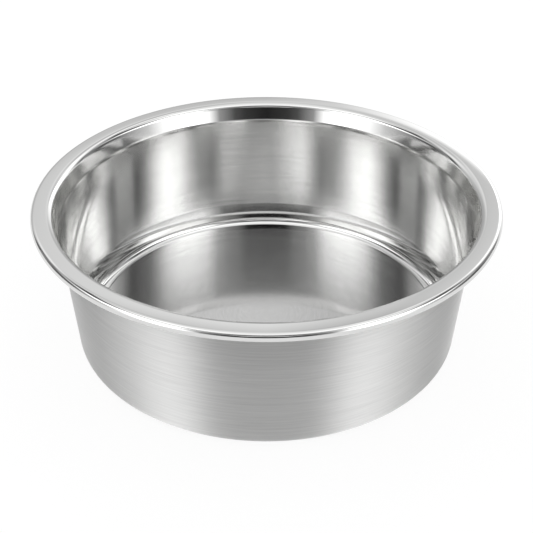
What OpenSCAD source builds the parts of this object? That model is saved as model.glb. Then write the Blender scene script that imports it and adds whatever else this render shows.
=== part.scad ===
// Stainless dog bowl: a dish drawn from one steel sheet, with a rolled rim and a
// raised floor, standing on a rubber ring that is bonded into the recess under it.
// Sizes are in millimetres. +Z is up, and the origin is the middle of the resting face.

/* [Overall] */
// Outer diameter of the rolled rim
rim_d = 220; // [180:1:280]
// Height from the resting surface to the top of the rim
bowl_h = 74; // [50:0.5:100]
// Thickness of the steel sheet
sheet_t = 0.8; // [0.5:0.05:1.1]

/* [Rim] */
// Outer diameter of the hollow bead rolled at the edge
bead_d = 4.7; // [4:0.1:7]
// Angle through which the sheet is rolled in the bead, in degrees
bead_sweep = 285; // [200:5:300]
// Width of the flat flange, from the neck bend to the top of the bead
flange_w = 4.6; // [3:0.1:12]
// Radius on top of the neck bend, where the flange turns down
neck_r = 3.6; // [2.5:0.1:5]
// Angle through which the neck bend turns, in degrees
neck_turn = 73; // [60:1:80]
// Slanted width of the conical shoulder under the neck bend
shoulder_w = 5.6; // [2:0.1:12]
// Radius inside the bend from the shoulder into the wall
ease_r = 12; // [6:0.5:30]

/* [Wall] */
// Lean of the wall away from upright, in degrees
wall_draft = 4.5; // [1:0.5:10]
// Radius inside the corner between the wall and the standing ring
corner_r = 4.4; // [2:0.1:9]

/* [Base] */
// Width of the flat standing ring at the foot of the corner
stand_w = 0.6; // [0.2:0.1:4]
// Height that the floor is raised above the standing ring
floor_rise = 4.2; // [3:0.1:7]
// Steepness of the step from the standing ring up to the floor, in degrees
step_slope = 65; // [45:1:80]
// Radius inside the bend at the foot of the step
step_foot_r = 1.1; // [0.6:0.1:1.6]
// Radius on top of the bend at the head of the step
step_head_r = 1.9; // [1.3:0.1:2.4]

/* [Rubber ring] */
// Width of the rubber ring
ring_w = 9; // [5:0.5:20]
// How far the rubber ring stands below the steel
ring_proud = 0.8; // [0.4:0.1:1.6]
// Gap between the rubber ring and the step round it
ring_gap = 0.3; // [0.1:0.1:1]
// Rounding of the rubber ring's lower edges
ring_edge_r = 0.8; // [0.3:0.1:1.5]
// Width of each groove in the rubber ring's resting face
groove_w = 1.0; // [0.5:0.1:1.5]
// Depth of each groove in the rubber ring's resting face
groove_depth = 0.6; // [0.2:0.1:1.5]

/* [Hidden] */

steel = [0.78, 0.78, 0.77];
rubber = [0.10, 0.10, 0.11];

// Facets of every round shape
round_fn = 144;
// Turn between neighbouring rays of a pie slice, in degrees
ray_step = 45;
// How far the cut that opens the bead reaches past it
mouth_overrun = 0.3;
// Grooves in the rubber ring, evenly spread over its width
groove_count = 2;

// The section is drawn along the middle of the sheet, as [radius, height]
half_t = sheet_t / 2;

// Bead, tangent to the flange at its top
bead_mid_r = (bead_d - sheet_t) / 2;
bead_c = [(rim_d - bead_d) / 2, bowl_h - bead_d / 2];
flange_z = bowl_h - half_t;

// Neck bend, from the flange's inner edge to the shoulder
neck_mid_r = neck_r - half_t;
neck_c = [bead_c[0] - flange_w, flange_z - neck_mid_r];
neck_end = 90 + neck_turn;

// Shoulder, a cone from the neck bend down to the bend into the wall
neck_foot = on_arc(neck_c, neck_mid_r, neck_end);
shoulder_foot = on_arc(neck_foot, shoulder_w, neck_end + 90);
ease_mid_r = ease_r - half_t;
ease_c = on_arc(shoulder_foot, -ease_mid_r, neck_end);
wall_top = on_arc(ease_c, ease_mid_r, 180 - wall_draft);

// Corner, from the wall down to the standing ring
stand_z = ring_proud + half_t;
corner_mid_r = corner_r + half_t;
corner_z = stand_z + corner_mid_r;
wall_foot_z = corner_z - corner_mid_r * sin(wall_draft);
wall_foot = [wall_top[0] - (wall_top[1] - wall_foot_z) * tan(wall_draft), wall_foot_z];
corner_c = [wall_foot[0] - corner_mid_r * cos(wall_draft), corner_z];

// Step, from the standing ring up to the floor
foot_mid_r = step_foot_r + half_t;
foot_c = [corner_c[0] - stand_w, stand_z + foot_mid_r];
step_foot = on_arc(foot_c, foot_mid_r, -90 - step_slope);
floor_z = stand_z + floor_rise;
head_mid_r = step_head_r - half_t;
head_z = floor_z - head_mid_r;
step_head_z = head_z + head_mid_r * cos(step_slope);
step_run = (step_head_z - step_foot[1]) / tan(step_slope);
step_head = [step_foot[0] - step_run, step_head_z];
head_c = [step_head[0] - head_mid_r * sin(step_slope), head_z];

// Rubber ring, seated on the underside of the floor
ring_top_z = floor_z - half_t;
ring_outer_r = head_c[0] - ring_gap;
ring_inner_r = ring_outer_r - ring_w;

// Point on a circle at an angle
function on_arc(centre, r, angle) = centre + r * [cos(angle), sin(angle)];

// Pie slice of a circle between two angles
module pie(centre, r, from, to) {
    steps = ceil((to - from) / ray_step);
    reach = 2 * r;
    rays = [for (i = [0:steps]) on_arc([0, 0], reach, from + (to - from) * i / steps)];
    translate(centre)
    intersection() {
        circle(r = r, $fn = round_fn);
        polygon(concat([[0, 0]], rays));
    }
}

// Half section of all that lies above one face of the sheet, up to a level.
// The face is parallel to the middle of the sheet, shifted from it into the bowl.
module space_above(shift, level) {
    corner_face_r = corner_mid_r - shift;
    foot_face_r = foot_mid_r - shift;
    head_face_r = head_mid_r + shift;
    neck_face_r = neck_mid_r + shift;
    ease_face_r = ease_mid_r + shift;
    difference() {
        union() {
            polygon([
                [0, floor_z + shift],
                [head_c[0], floor_z + shift],
                head_c,
                on_arc(head_c, head_face_r, 90 - step_slope),
                on_arc(foot_c, foot_face_r, -90 - step_slope),
                [foot_c[0], stand_z + shift],
                [corner_c[0], stand_z + shift],
                on_arc(corner_c, corner_face_r, -wall_draft),
                on_arc(ease_c, ease_face_r, 180 - wall_draft),
                on_arc(ease_c, ease_face_r, neck_end),
                on_arc(neck_c, neck_face_r, neck_end),
                neck_c,
                [neck_c[0], level],
                [0, level]
            ]);
            pie(foot_c, foot_face_r, -90 - step_slope, -90);
            pie(corner_c, corner_face_r, -90, -wall_draft);
        }
        translate(head_c) circle(r = head_face_r, $fn = round_fn);
        pie(ease_c, ease_face_r, neck_end, 180 - wall_draft);
        translate(neck_c) circle(r = neck_face_r, $fn = round_fn);
    }
}

// Opening in the rolled bead, from the end of the roll up to the flange
module bead_mouth() {
    reach = bead_d / 2 + mouth_overrun;
    roll_end = on_arc([0, 0], reach, 90 - bead_sweep);
    under_flange = bead_mid_r - half_t;
    translate(bead_c)
    polygon([[0, 0], [0, under_flange], [-reach, under_flange], [-reach, roll_end[1]], roll_end]);
}

// Half section of the dish: floor, step, corner, wall, shoulder, neck, flange and rolled bead
module dish_section() {
    difference() {
        union() {
            space_above(-half_t, bowl_h);
            translate([0, bowl_h - sheet_t]) square([bead_c[0], sheet_t]);
            translate(bead_c) circle(d = bead_d, $fn = round_fn);
        }
        space_above(half_t, bowl_h + sheet_t);
        translate(bead_c) circle(d = bead_d - 2 * sheet_t, $fn = round_fn);
        bead_mouth();
    }
}

// The drawn steel dish, one sheet from the floor to the rolled bead
module bowl_shell() {
    color(steel)
    rotate_extrude($fn = round_fn) dish_section();
}

// Section of the rubber ring, square on top and rounded at its resting edges
module ring_section() {
    low_r = ring_inner_r + ring_edge_r;
    high_r = ring_outer_r - ring_edge_r;
    groove_pitch = ring_w / (groove_count + 1);
    difference() {
        union() {
            translate([ring_inner_r, ring_edge_r]) square([ring_w, ring_top_z - ring_edge_r]);
            translate([low_r, 0]) square([high_r - low_r, ring_top_z]);
            for (r = [low_r, high_r]) translate([r, ring_edge_r]) circle(r = ring_edge_r, $fn = round_fn);
        }
        for (i = [1:groove_count])
            translate([ring_inner_r + i * groove_pitch - groove_w / 2, -groove_depth])
            square([groove_w, 2 * groove_depth]);
    }
}

// The rubber ring that the bowl stands on
module anti_slip_ring() {
    color(rubber)
    rotate_extrude($fn = round_fn) ring_section();
}

bowl_shell();
anti_slip_ring();
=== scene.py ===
import math
import bpy
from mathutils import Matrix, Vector


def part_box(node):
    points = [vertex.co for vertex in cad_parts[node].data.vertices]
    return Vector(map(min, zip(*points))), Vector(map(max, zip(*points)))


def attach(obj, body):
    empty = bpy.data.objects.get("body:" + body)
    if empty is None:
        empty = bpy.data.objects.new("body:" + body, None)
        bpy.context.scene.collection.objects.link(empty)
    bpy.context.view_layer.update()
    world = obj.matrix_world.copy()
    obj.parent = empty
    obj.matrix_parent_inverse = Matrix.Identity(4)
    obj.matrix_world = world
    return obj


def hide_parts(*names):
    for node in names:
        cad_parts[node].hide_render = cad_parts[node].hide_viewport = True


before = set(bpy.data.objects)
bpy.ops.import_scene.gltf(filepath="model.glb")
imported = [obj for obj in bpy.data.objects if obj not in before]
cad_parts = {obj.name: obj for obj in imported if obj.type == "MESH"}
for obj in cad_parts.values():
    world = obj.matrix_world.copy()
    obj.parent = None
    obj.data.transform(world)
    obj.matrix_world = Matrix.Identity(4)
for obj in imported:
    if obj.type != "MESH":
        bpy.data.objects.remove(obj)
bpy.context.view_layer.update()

# Stainless dog bowl: the drawn steel dish in its real finishes, with painted light on the inside wall
# and painted shade on its floor, on its rubber ring.
# Lengths are in metres and angles in degrees, in the frame of the imported model.

# Driving sizes of the dish
SHEET_T = 0.0008
BEAD_D = 0.0047
BEAD_SWEEP = 285
FLANGE_W = 0.0046
NECK_R = 0.0036
NECK_TURN = 73
SHOULDER_W = 0.0056
EASE_R = 0.012
WALL_DRAFT = 4.5
CORNER_R = 0.0044
STAND_W = 0.0006
FLOOR_RISE = 0.0042
STEP_SLOPE = 65
STEP_FOOT_R = 0.0011
STEP_HEAD_R = 0.0019

# Fineness of the turned shapes
LATHE_STEPS = 288
ARC_STEP = 4
EASE_STEP = 1
BEAD_STEP = 5
WALL_STEPS = 12
SHOULDER_STEPS = 4
FLOOR_STEPS = 8
GLOSS_STEPS = 4
CARD_STEPS = 8

# Points closer than this are welded, and edges turned by more than this angle stay sharp
WELD_GAP = 1e-6
SHARP_ANGLE = 50

# Finishes, as roughness
POLISH_ROUGH = 0.05
FLOOR_ROUGH = 0.065
WALL_ROUGH = 0.11
OUTSIDE_ROUGH = 0.50

# Share of the light that each finish gives back, and its faint tint; the inside wall's share is raised
# above the same steel elsewhere as painted light, and the flat of the floor's is lowered as painted
# shade
POLISH_TONE = 0.70
PAINTED_LIGHT_WALL_TONE = 0.84
PAINTED_SHADE_FLOOR_TONE = 0.53
OUTSIDE_TONE = 0.70
STEEL_TINT = (1.0, 1.0, 0.993)

# Brushing: waves round the bowl and lines a metre across it, of the fine and the broad streaks
FINE_BRUSH = (2.5, 2600.0)
BROAD_BRUSH = (3.5, 1300.0)
BRUSH_DETAIL = 3.0
BRUSH_ROUGHNESS = 0.6
FINE_SHARE = 0.4
STREAK_MIDDLE = 0.7

# How far the streaks change the roughness, the tone and the relief, and how deep they are cut
STREAK_ROUGH = 0.06
STREAK_TONE = 0.32
STREAK_RELIEF = 0.35
STREAK_DEPTH = 0.00002
WALL_CALM = 0.8
FLOOR_CALM = 0.4

# Rubber: its dark and dusty colours, base roughness and what the grain adds, and the grain's depth
RUBBER_DARK = (0.018, 0.018, 0.019, 1)
RUBBER_DUSTY = (0.045, 0.045, 0.046, 1)
RUBBER_ROUGH = 0.5
GRAIN_ROUGH = 0.2
GRAIN_RELIEF = 0.4
GRAIN_DEPTH = 0.0001
GRAIN_SCALE = 1400.0
DUST_SCALE = 60.0

# Where the finishes change, as heights above the resting surface
CORNER_POLISH_TOP = 0.0140
NECK_POLISH_FOOT = 0.0645
POLISH_FADE = 0.0008
FLOOR_POLISH_W = 0.0105

# Studio: half width of the white floor, its gap under the bowl, and distance of the cards
FLOOR_REACH = 4.0
FLOOR_GAP = 0.00002
CARD_REACH = 2.0

# Strength of the white floor and of the surroundings, as seen and as light on matt surfaces
FLOOR_GLOW = 0.88
FLOOR_MATT = 0.16
WORLD_MATT = 0.85

# Reflections that light may take inside the polished dish
LIGHT_BOUNCES = 16

# Camera
CAMERA_PLACE = (0.0, -0.4412, 0.3258)
CAMERA_AIM = (0.0, 0.0, 0.0328)
CAMERA_LENS = 72.6


def on_arc(centre, r, angle):
    """Point on a circle in the section, as (radius, height)."""
    turn = math.radians(angle)
    return (centre[0] + r * math.cos(turn), centre[1] + r * math.sin(turn))


def arc(centre, r, start, end, step):
    """Points along an arc, both ends included."""
    count = max(2, math.ceil(abs(end - start) / step))
    return [on_arc(centre, r, start + (end - start) * i / count) for i in range(count + 1)]


def line(start, end, count):
    """Points between two ends, neither included."""
    return [tuple(a + (b - a) * i / count for a, b in zip(start, end)) for i in range(1, count)]


def ramp(low, high, value):
    """Straight rise from 0 at low to 1 at high."""
    return min(1.0, max(0.0, (value - low) / (high - low)))


def at_height(start, end, height):
    """Point at a height on the line between two points."""
    share = (height - start[1]) / (end[1] - start[1])
    return (start[0] + (end[0] - start[0]) * share, height)


def dish_profile():
    """Section of the dish from the axis over the inside, the bead and the outside back to it.

    Each point has its radius, height, the shares of the wall's, floor's and outside's satin, and 1
    on the flat of the floor.
    """
    low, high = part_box("bowl_shell")
    half_t = SHEET_T / 2
    rim_r = high[0]
    stand_z = low[2] + half_t
    bead_c = (rim_r - BEAD_D / 2, high[2] - BEAD_D / 2)
    neck_mid = NECK_R - half_t
    neck_c = (bead_c[0] - FLANGE_W, high[2] - NECK_R)
    neck_end = 90 + NECK_TURN
    shoulder_foot = on_arc(on_arc(neck_c, neck_mid, neck_end), SHOULDER_W, neck_end + 90)
    ease_mid = EASE_R - half_t
    ease_c = on_arc(shoulder_foot, -ease_mid, neck_end)
    lean = math.radians(WALL_DRAFT)
    wall_top = on_arc(ease_c, ease_mid, 180 - WALL_DRAFT)
    corner_mid = CORNER_R + half_t
    corner_z = stand_z + corner_mid
    foot_of_wall = corner_z - corner_mid * math.sin(lean)
    wall_foot_r = wall_top[0] - (wall_top[1] - foot_of_wall) * math.tan(lean)
    corner_c = (wall_foot_r - corner_mid * math.cos(lean), corner_z)
    foot_mid = STEP_FOOT_R + half_t
    foot_c = (corner_c[0] - STAND_W, stand_z + foot_mid)
    step_foot = on_arc(foot_c, foot_mid, -90 - STEP_SLOPE)
    floor_z = stand_z + FLOOR_RISE
    head_mid = STEP_HEAD_R - half_t
    head_z = floor_z - head_mid
    slope = math.radians(STEP_SLOPE)
    step_head_z = head_z + head_mid * math.cos(slope)
    step_head_r = step_foot[0] - (step_head_z - step_foot[1]) / math.tan(slope)
    head_c = (step_head_r - head_mid * math.sin(slope), head_z)
    gloss_r = head_c[0] - FLOOR_POLISH_W

    def face(shift):
        """One face of the sheet from the axis to the flange, shifted from its middle."""
        centre, satin_end, gloss_start = [
            (r, floor_z + shift) for r in (0.0, gloss_r - POLISH_FADE, gloss_r)]
        head = arc(head_c, head_mid + shift, 90, 90 - STEP_SLOPE, ARC_STEP)
        steps = [centre] + line(centre, satin_end, FLOOR_STEPS) + [satin_end, gloss_start]
        steps += line(gloss_start, head[0], GLOSS_STEPS) + head
        steps += arc(foot_c, foot_mid - shift, -90 - STEP_SLOPE, -90, ARC_STEP)
        steps += arc(corner_c, corner_mid - shift, -90, -WALL_DRAFT, ARC_STEP)
        bend = arc(ease_c, ease_mid + shift, 180 - WALL_DRAFT, neck_end, EASE_STEP)
        neck = arc(neck_c, neck_mid + shift, neck_end, 90, ARC_STEP)
        foot = steps[-1]
        gloss_top, satin_start = [
            at_height(foot, bend[0], CORNER_POLISH_TOP + rise) for rise in (0, POLISH_FADE)]
        steps += line(foot, gloss_top, GLOSS_STEPS) + [gloss_top, satin_start]
        steps += line(steps[-1], bend[0], WALL_STEPS)
        steps += bend
        steps += line(bend[-1], neck[0], SHOULDER_STEPS)
        steps += neck
        return steps

    inside = face(half_t)
    outside = face(-half_t)
    roll_end = 90 - BEAD_SWEEP
    bead_out = arc(bead_c, BEAD_D / 2, 90, roll_end, BEAD_STEP)
    bead_in = arc(bead_c, BEAD_D / 2 - SHEET_T, roll_end, 90, 3 * BEAD_STEP)
    rows = []
    for r, z in inside:
        on_wall = ramp(CORNER_POLISH_TOP, CORNER_POLISH_TOP + POLISH_FADE, z)
        on_wall *= 1 - ramp(NECK_POLISH_FOOT - POLISH_FADE, NECK_POLISH_FOOT, z)
        on_floor = 1 - ramp(gloss_r - POLISH_FADE, gloss_r, r)
        flat = 1 - ramp(head_c[0], head_c[0] + POLISH_FADE, r)
        rows.append((r, z, on_wall, on_floor, 0.0, flat))
    rows += [(r, z, 0.0, 0.0, 0.0, 0.0) for r, z in bead_out]
    rows += [(r, z, 0.0, 0.0, 1.0, 0.0) for r, z in bead_in]
    rows += [(r, z, 0.0, 0.0, 1.0, 0.0) for r, z in reversed(outside)]
    return rows


def profile_object(name, rows):
    """Section as a line of edges that carries the finishes as attributes."""
    mesh = bpy.data.meshes.new(name)
    edges = [(i, i + 1) for i in range(len(rows) - 1)]
    mesh.from_pydata([(r, z, 0.0) for r, z, *_ in rows], edges, [])
    along = [0.0]
    for (r0, z0, *_), (r1, z1, *_) in zip(rows, rows[1:]):
        along.append(along[-1] + math.hypot(r1 - r0, z1 - z0))
    columns = {"along": along}
    titles = ("wall_satin", "floor_satin", "outside_satin", "floor_face")
    for place, title in enumerate(titles, 2):
        columns[title] = [row[place] for row in rows]
    for title, values in columns.items():
        mesh.attributes.new(title, "FLOAT", "POINT").data.foreach_set("value", values)
    item = bpy.data.objects.new(name, mesh)
    bpy.context.scene.collection.objects.link(item)
    return item


def lathe_tree():
    """Node tree that turns a section round the upright axis into a closed solid."""
    tree = bpy.data.node_groups.new("lathe", "GeometryNodeTree")
    face = tree.interface
    face.new_socket("Geometry", in_out="INPUT", socket_type="NodeSocketGeometry")
    steps = face.new_socket("Steps", in_out="INPUT", socket_type="NodeSocketInt")
    guide = face.new_socket("Guide radius", in_out="INPUT", socket_type="NodeSocketFloat")
    finish = face.new_socket("Finish", in_out="INPUT", socket_type="NodeSocketMaterial")
    face.new_socket("Geometry", in_out="OUTPUT", socket_type="NodeSocketGeometry")
    names = {"steps": steps.identifier, "guide": guide.identifier, "finish": finish.identifier}
    add = tree.nodes.new
    link = tree.links.new
    entry = add("NodeGroupInput")
    shift = add("ShaderNodeCombineXYZ")
    back = add("ShaderNodeMath")
    back.operation = "MULTIPLY"
    back.inputs[1].default_value = -1.0
    place = add("GeometryNodeTransform")
    place.inputs["Rotation"].default_value = (math.pi, 0, 0)
    section = add("GeometryNodeMeshToCurve")
    circle = add("GeometryNodeCurvePrimitiveCircle")
    upright = add("GeometryNodeSetCurveNormal")
    upright.mode = "Z_UP"
    sweep = add("GeometryNodeCurveToMesh")
    weld = add("GeometryNodeMergeByDistance")
    weld.inputs["Distance"].default_value = WELD_GAP
    smooth = add("GeometryNodeSetShadeSmooth")
    realize = add("GeometryNodeRealizeInstances")
    coat = add("GeometryNodeSetMaterial")
    leave = add("NodeGroupOutput")
    link(entry.outputs["Guide radius"], back.inputs[0])
    link(back.outputs[0], shift.inputs["X"])
    link(entry.outputs["Geometry"], place.inputs["Geometry"])
    link(shift.outputs[0], place.inputs["Translation"])
    link(place.outputs[0], section.inputs["Mesh"])
    link(entry.outputs["Steps"], circle.inputs["Resolution"])
    link(entry.outputs["Guide radius"], circle.inputs["Radius"])
    link(circle.outputs["Curve"], upright.inputs["Curve"])
    link(upright.outputs["Curve"], sweep.inputs["Curve"])
    link(section.outputs["Curve"], sweep.inputs["Profile Curve"])
    link(sweep.outputs["Mesh"], weld.inputs["Geometry"])
    link(weld.outputs["Geometry"], smooth.inputs["Geometry"])
    link(smooth.outputs["Geometry"], realize.inputs["Geometry"])
    link(realize.outputs["Geometry"], coat.inputs["Geometry"])
    link(entry.outputs["Finish"], coat.inputs["Material"])
    link(coat.outputs["Geometry"], leave.inputs["Geometry"])
    return tree, names


def turned(name, rows, material, guide_r):
    """Piece turned from its section on the lathe, as a plain mesh."""
    item = profile_object(name, rows)
    tree, names = LATHE
    spin = item.modifiers.new("lathe", "NODES")
    spin.node_group = tree
    spin[names["steps"]] = LATHE_STEPS
    spin[names["guide"]] = guide_r
    spin[names["finish"]] = material
    ready = item.evaluated_get(bpy.context.evaluated_depsgraph_get())
    mesh = bpy.data.meshes.new_from_object(ready)
    item.modifiers.remove(spin)
    item.data = mesh
    mesh.name = name
    mesh.materials.clear()
    mesh.materials.append(material)
    return item


def new_material(name):
    """Empty node material with its output and main shader."""
    material = bpy.data.materials.new(name)
    material.use_nodes = True
    nodes = material.node_tree.nodes
    return material, nodes, material.node_tree.links, nodes["Principled BSDF"]


def maths(nodes, links, kind, *values):
    """Maths node on sockets or plain numbers."""
    node = nodes.new("ShaderNodeMath")
    node.operation = kind
    for place, value in enumerate(values):
        if isinstance(value, (int, float)):
            node.inputs[place].default_value = value
        else:
            links.new(value, node.inputs[place])
    return node.outputs[0]


def attribute(nodes, title):
    """Value that the lathe carried over from the section."""
    node = nodes.new("ShaderNodeAttribute")
    node.attribute_name = title
    return node.outputs["Fac"]


def streaks(nodes, links, along, brush):
    """Noise in long streaks round the axis: few waves round it, many lines a metre across."""
    turns, lines = brush
    place = nodes.new("ShaderNodeTexCoord").outputs["Object"]
    flat = nodes.new("ShaderNodeVectorMath")
    flat.operation = "MULTIPLY"
    flat.inputs[1].default_value = (1, 1, 0)
    links.new(place, flat.inputs[0])
    unit = nodes.new("ShaderNodeVectorMath")
    unit.operation = "NORMALIZE"
    links.new(flat.outputs[0], unit.inputs[0])
    wide = nodes.new("ShaderNodeVectorMath")
    wide.operation = "SCALE"
    wide.inputs["Scale"].default_value = turns
    links.new(unit.outputs[0], wide.inputs[0])
    across = nodes.new("ShaderNodeCombineXYZ")
    links.new(maths(nodes, links, "MULTIPLY", along, lines), across.inputs["Z"])
    both = nodes.new("ShaderNodeVectorMath")
    both.operation = "ADD"
    links.new(wide.outputs[0], both.inputs[0])
    links.new(across.outputs[0], both.inputs[1])
    noise = nodes.new("ShaderNodeTexNoise")
    noise.inputs["Scale"].default_value = 1.0
    noise.inputs["Detail"].default_value = BRUSH_DETAIL
    noise.inputs["Roughness"].default_value = BRUSH_ROUGHNESS
    links.new(both.outputs[0], noise.inputs["Vector"])
    return noise.outputs["Fac"]


def steel_material():
    """Stainless steel: polished rim and corner, satin wall, floor and outside brushed round, with
    painted light brightening the inside wall and painted shade darkening the flat of the floor.
    """
    material, nodes, links, shader = new_material("stainless_steel")
    along = attribute(nodes, "along")
    wall = attribute(nodes, "wall_satin")
    floor = attribute(nodes, "floor_satin")
    outside = attribute(nodes, "outside_satin")
    fine = streaks(nodes, links, along, FINE_BRUSH)
    broad = streaks(nodes, links, along, BROAD_BRUSH)
    both = maths(nodes, links, "MULTIPLY_ADD", fine, FINE_SHARE, broad)
    streak = maths(nodes, links, "SUBTRACT", both, STREAK_MIDDLE)

    satin = maths(nodes, links, "ADD", maths(nodes, links, "ADD", wall, outside), floor)
    rough = maths(nodes, links, "MULTIPLY_ADD", wall, WALL_ROUGH - POLISH_ROUGH, POLISH_ROUGH)
    rough = maths(nodes, links, "MULTIPLY_ADD", floor, FLOOR_ROUGH - POLISH_ROUGH, rough)
    rough = maths(nodes, links, "MULTIPLY_ADD", outside, OUTSIDE_ROUGH - POLISH_ROUGH, rough)
    uneven = maths(nodes, links, "MULTIPLY", streak, STREAK_ROUGH)
    relief = maths(nodes, links, "MULTIPLY_ADD", wall, -WALL_CALM, satin)
    links.new(maths(nodes, links, "MULTIPLY_ADD", relief, uneven, rough), shader.inputs["Roughness"])

    # Painted light: the satin inside wall gets a brighter tone than the same steel on the outside and
    # the polished bands
    tone_with_painted_light_and_shade = maths(nodes, links, "MULTIPLY_ADD", wall, PAINTED_LIGHT_WALL_TONE - POLISH_TONE, POLISH_TONE)
    # Painted shade: the whole flat of the floor, its polished ring too, gets a darker tone than the
    # same steel elsewhere
    flat = attribute(nodes, "floor_face")
    tone_with_painted_light_and_shade = maths(nodes, links, "MULTIPLY_ADD", flat, PAINTED_SHADE_FLOOR_TONE - POLISH_TONE, tone_with_painted_light_and_shade)
    tone_with_painted_light_and_shade = maths(nodes, links, "MULTIPLY_ADD", outside, OUTSIDE_TONE - POLISH_TONE, tone_with_painted_light_and_shade)
    depth = maths(nodes, links, "MULTIPLY_ADD", floor, -FLOOR_CALM, satin)
    lines = maths(nodes, links, "MULTIPLY", depth, maths(nodes, links, "MULTIPLY", streak, STREAK_TONE))
    tint = nodes.new("ShaderNodeVectorMath")
    tint.operation = "SCALE"
    tint.inputs[0].default_value = STEEL_TINT
    links.new(maths(nodes, links, "MULTIPLY_ADD", tone_with_painted_light_and_shade, lines, tone_with_painted_light_and_shade), tint.inputs["Scale"])
    links.new(tint.outputs[0], shader.inputs["Base Color"])

    bump = nodes.new("ShaderNodeBump")
    bump.inputs["Distance"].default_value = STREAK_DEPTH
    links.new(maths(nodes, links, "MULTIPLY", relief, STREAK_RELIEF), bump.inputs["Strength"])
    links.new(fine, bump.inputs["Height"])
    links.new(bump.outputs["Normal"], shader.inputs["Normal"])

    round_axis = nodes.new("ShaderNodeTangent")
    round_axis.direction_type = "RADIAL"
    round_axis.axis = "Z"
    links.new(round_axis.outputs["Tangent"], shader.inputs["Tangent"])
    shader.inputs["Metallic"].default_value = 1.0
    shader.inputs["Anisotropic"].default_value = 1.0
    shader.inputs["Anisotropic Rotation"].default_value = 0.25
    return material


def rubber_material():
    """Matt moulded rubber with a fine grain and a little dust in it."""
    material, nodes, links, shader = new_material("rubber")
    place = nodes.new("ShaderNodeTexCoord").outputs["Object"]
    grain = nodes.new("ShaderNodeTexNoise")
    grain.inputs["Scale"].default_value = GRAIN_SCALE
    grain.inputs["Detail"].default_value = 4.0
    links.new(place, grain.inputs["Vector"])
    dust = nodes.new("ShaderNodeTexNoise")
    dust.inputs["Scale"].default_value = DUST_SCALE
    dust.inputs["Detail"].default_value = 5.0
    links.new(place, dust.inputs["Vector"])
    tone = nodes.new("ShaderNodeMix")
    tone.data_type = "RGBA"
    tone.inputs["A"].default_value = RUBBER_DARK
    tone.inputs["B"].default_value = RUBBER_DUSTY
    links.new(dust.outputs["Fac"], tone.inputs["Factor"])
    links.new(tone.outputs["Result"], shader.inputs["Base Color"])
    rough = maths(nodes, links, "MULTIPLY_ADD", grain.outputs["Fac"], GRAIN_ROUGH, RUBBER_ROUGH)
    links.new(rough, shader.inputs["Roughness"])
    bump = nodes.new("ShaderNodeBump")
    bump.inputs["Distance"].default_value = GRAIN_DEPTH
    bump.inputs["Strength"].default_value = GRAIN_RELIEF
    links.new(grain.outputs["Fac"], bump.inputs["Height"])
    links.new(bump.outputs["Normal"], shader.inputs["Normal"])
    return material


def seen_by(nodes, links, titles):
    """1 for the named kinds of ray and 0 for others."""
    path = nodes.new("ShaderNodeLightPath")
    total = path.outputs[titles[0]]
    for title in titles[1:]:
        total = maths(nodes, links, "MAXIMUM", total, path.outputs[title])
    return total


BACKGROUND_RAYS = ("Is Camera Ray", "Is Glossy Ray", "Is Transmission Ray")


def white_world():
    """White surroundings, a little dimmer as light on matt surfaces."""
    world = bpy.data.worlds.new("white_studio")
    world.use_nodes = True
    nodes, links = world.node_tree.nodes, world.node_tree.links
    back = nodes["Background"]
    back.inputs["Color"].default_value = (1, 1, 1, 1)
    seen = seen_by(nodes, links, BACKGROUND_RAYS)
    strength = maths(nodes, links, "MULTIPLY_ADD", seen, 1 - WORLD_MATT, WORLD_MATT)
    links.new(strength, back.inputs["Strength"])
    bpy.context.scene.world = world


def white_floor():
    """Pale floor that stays white in the picture and keeps the bowl's shadow."""
    corners = [(-1, -1), (1, -1), (1, 1), (-1, 1)]
    mesh = bpy.data.meshes.new("floor")
    places = [(x * FLOOR_REACH, y * FLOOR_REACH, -FLOOR_GAP) for x, y in corners]
    mesh.from_pydata(places, [], [(0, 1, 2, 3)])
    item = bpy.data.objects.new("floor", mesh)
    bpy.context.scene.collection.objects.link(item)
    material = bpy.data.materials.new("white_floor")
    material.use_nodes = True
    nodes, links = material.node_tree.nodes, material.node_tree.links
    nodes.clear()
    matt = nodes.new("ShaderNodeBsdfDiffuse")
    matt.inputs["Color"].default_value = (FLOOR_MATT, FLOOR_MATT, FLOOR_MATT, 1)
    glow = nodes.new("ShaderNodeEmission")
    seen = seen_by(nodes, links, BACKGROUND_RAYS)
    links.new(maths(nodes, links, "MULTIPLY", seen, FLOOR_GLOW), glow.inputs["Strength"])
    both = nodes.new("ShaderNodeAddShader")
    links.new(matt.outputs[0], both.inputs[0])
    links.new(glow.outputs[0], both.inputs[1])
    out = nodes.new("ShaderNodeOutputMaterial")
    links.new(both.outputs[0], out.inputs["Surface"])
    mesh.materials.append(material)


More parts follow.
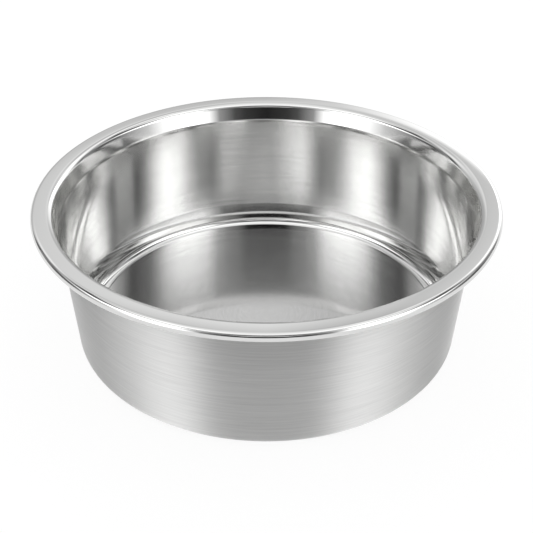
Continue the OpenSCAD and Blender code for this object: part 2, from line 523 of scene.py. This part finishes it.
def card(name, rows):
    """Curved studio card, seen only in reflections.

    Each row has its elevation and then pairs of a bearing and the strength there. Bearings run
    from the camera's side, 0, to the right, and every row has as many pairs.
    """
    spots = []
    glows = []
    for lift, *knots in rows:
        along = knots[:1]
        for start, end in zip(knots, knots[1:]):
            along += line(start, end, CARD_STEPS) + [end]
        for bearing, strength in along:
            turn = math.radians(bearing)
            rise = math.radians(lift)
            flat = CARD_REACH * math.cos(rise)
            spots.append((flat * math.sin(turn), -flat * math.cos(turn), CARD_REACH * math.sin(rise)))
            glows.append(strength)
    wide = len(spots) // len(rows)
    faces = [(j * wide + i, j * wide + i + 1, (j + 1) * wide + i + 1, (j + 1) * wide + i)
             for j in range(len(rows) - 1) for i in range(wide - 1)]
    mesh = bpy.data.meshes.new(name)
    mesh.from_pydata(spots, [], faces)
    mesh.attributes.new("glow", "FLOAT", "POINT").data.foreach_set("value", glows)
    item = bpy.data.objects.new(name, mesh)
    bpy.context.scene.collection.objects.link(item)
    material = bpy.data.materials.new(name)
    material.use_nodes = True
    nodes, links = material.node_tree.nodes, material.node_tree.links
    nodes.clear()
    glow = nodes.new("ShaderNodeEmission")
    links.new(attribute(nodes, "glow"), glow.inputs["Strength"])
    out = nodes.new("ShaderNodeOutputMaterial")
    links.new(glow.outputs[0], out.inputs["Surface"])
    material.cycles.emission_sampling = "NONE"
    mesh.materials.append(material)
    item.visible_camera = False
    item.visible_diffuse = False
    item.visible_shadow = False


def both_sides(knots):
    """Pairs from the middle to the right, with the same to the left."""
    return [(-bearing, glow) for bearing, glow in reversed(knots[1:])] + knots


def studio_cards():
    """Dark side with a lamp over the camera, soft boxes at the sides, white top, uneven backdrop."""
    foot = both_sides([(0, 0.02), (12, 0.05), (18, 0.10), (27, 0.4), (34, 1.7), (42, 2.8),
                       (50, 2.5), (60, 1.5), (70, 0.8), (82, 0.45), (92, 0.15), (104, 0.12),
                       (118, 0.4)])
    near = both_sides([(0, 0.02), (12, 0.03), (18, 0.08), (27, 0.24), (34, 1.1), (42, 2.4),
                       (52, 2.5), (62, 2.3), (72, 1.2), (82, 0.9), (92, 0.3), (104, 0.2),
                       (118, 0.3)])
    lamp = both_sides([(0, 1.2), (11, 1.1), (16, 0.35), (22, 0.20), (30, 0.38), (38, 0.75),
                       (45, 1.3), (54, 2.5), (62, 3.3), (76, 3.5), (86, 2.5), (100, 1.0),
                       (118, 0.2)])
    upper = both_sides([(0, 0.0), (13, 0.03), (20, 0.35), (27, 0.55), (34, 1.0), (42, 2.4),
                        (52, 2.9), (62, 2.7), (72, 1.8), (80, 0.7), (87, 0.2), (104, 0.08),
                        (118, 0.6)])
    card("front", [(1, *foot), (15, *foot), (19, *near), (24.5, *near),
                   (27, *lamp), (31.5, *lamp), (35, *upper), (44, *upper)])
    wide = (-118, -80, -40, 0, 40, 80, 118)
    card("edge", [(lift, *[(bearing, 0.15) for bearing in wide]) for lift in (44, 50)])
    white = (0.8, 1.4, 1.35, 1.0, 1.35, 1.4, 0.8)
    card("white_top", [(lift, *[(bearing, glow * level) for bearing, glow in zip(wide, white)])
                       for lift, level in ((50, 0.95), (68, 1.2))])
    low = [(118, 0.25), (123, 0.45), (131, 1.6), (138, 2.5), (145, 2.5), (152, 2.3), (160, 2.1),
           (168, 1.5), (175, 0.9), (180, 0.72), (200, 0.74), (210, 0.82), (220, 0.9), (229, 0.95),
           (237, 0.25), (242, 0.2)]
    high = [(118, 0.6), (123, 0.75), (131, 1.3), (138, 1.7), (145, 1.6), (152, 1.2), (160, 0.85),
            (168, 0.72), (175, 0.85), (180, 1.0), (200, 0.85), (210, 0.9), (220, 1.15), (229, 1.15),
            (237, 0.75), (242, 0.6)]
    rows = [(1, low, 0.6), (22, low, 0.8), (25, low, 1.0), (27, low, 1.0),
            (29, high, 0.95), (38, high, 1.05), (44, high, 0.8), (68, high, 0.9)]
    card("backdrop", [(lift, *[(bearing, glow * level) for bearing, glow in spread])
                      for lift, spread, level in rows])
    top = [(0, 1.4), (90, 1.15), (180, 0.84), (270, 1.15), (360, 1.4)]
    card("overhead", [(68, *top), (89.9, *[(bearing, 1.05) for bearing, _ in top])])


def aim_camera():
    """Camera at the photograph's height and distance."""
    data = bpy.data.cameras.new("camera")
    data.lens = CAMERA_LENS
    data.sensor_width = 36
    data.clip_start = 0.01
    item = bpy.data.objects.new("camera", data)
    item.location = CAMERA_PLACE
    look = Vector(CAMERA_AIM) - Vector(CAMERA_PLACE)
    item.rotation_euler = look.to_track_quat("-Z", "Y").to_euler()
    bpy.context.scene.collection.objects.link(item)
    bpy.context.scene.camera = item


aim_camera()
white_world()
white_floor()
studio_cards()

LATHE = lathe_tree()
dish = turned("bowl_dish", dish_profile(), steel_material(), BEAD_D)
dish.data.set_sharp_from_angle(angle=math.radians(SHARP_ANGLE))
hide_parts("bowl_shell")
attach(dish, "root")

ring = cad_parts["anti_slip_ring"]
ring.data.materials.clear()
ring.data.materials.append(rubber_material())

bpy.context.scene.view_settings.view_transform = "Standard"
bpy.context.scene.cycles.max_bounces = LIGHT_BOUNCES
bpy.context.scene.cycles.glossy_bounces = LIGHT_BOUNCES
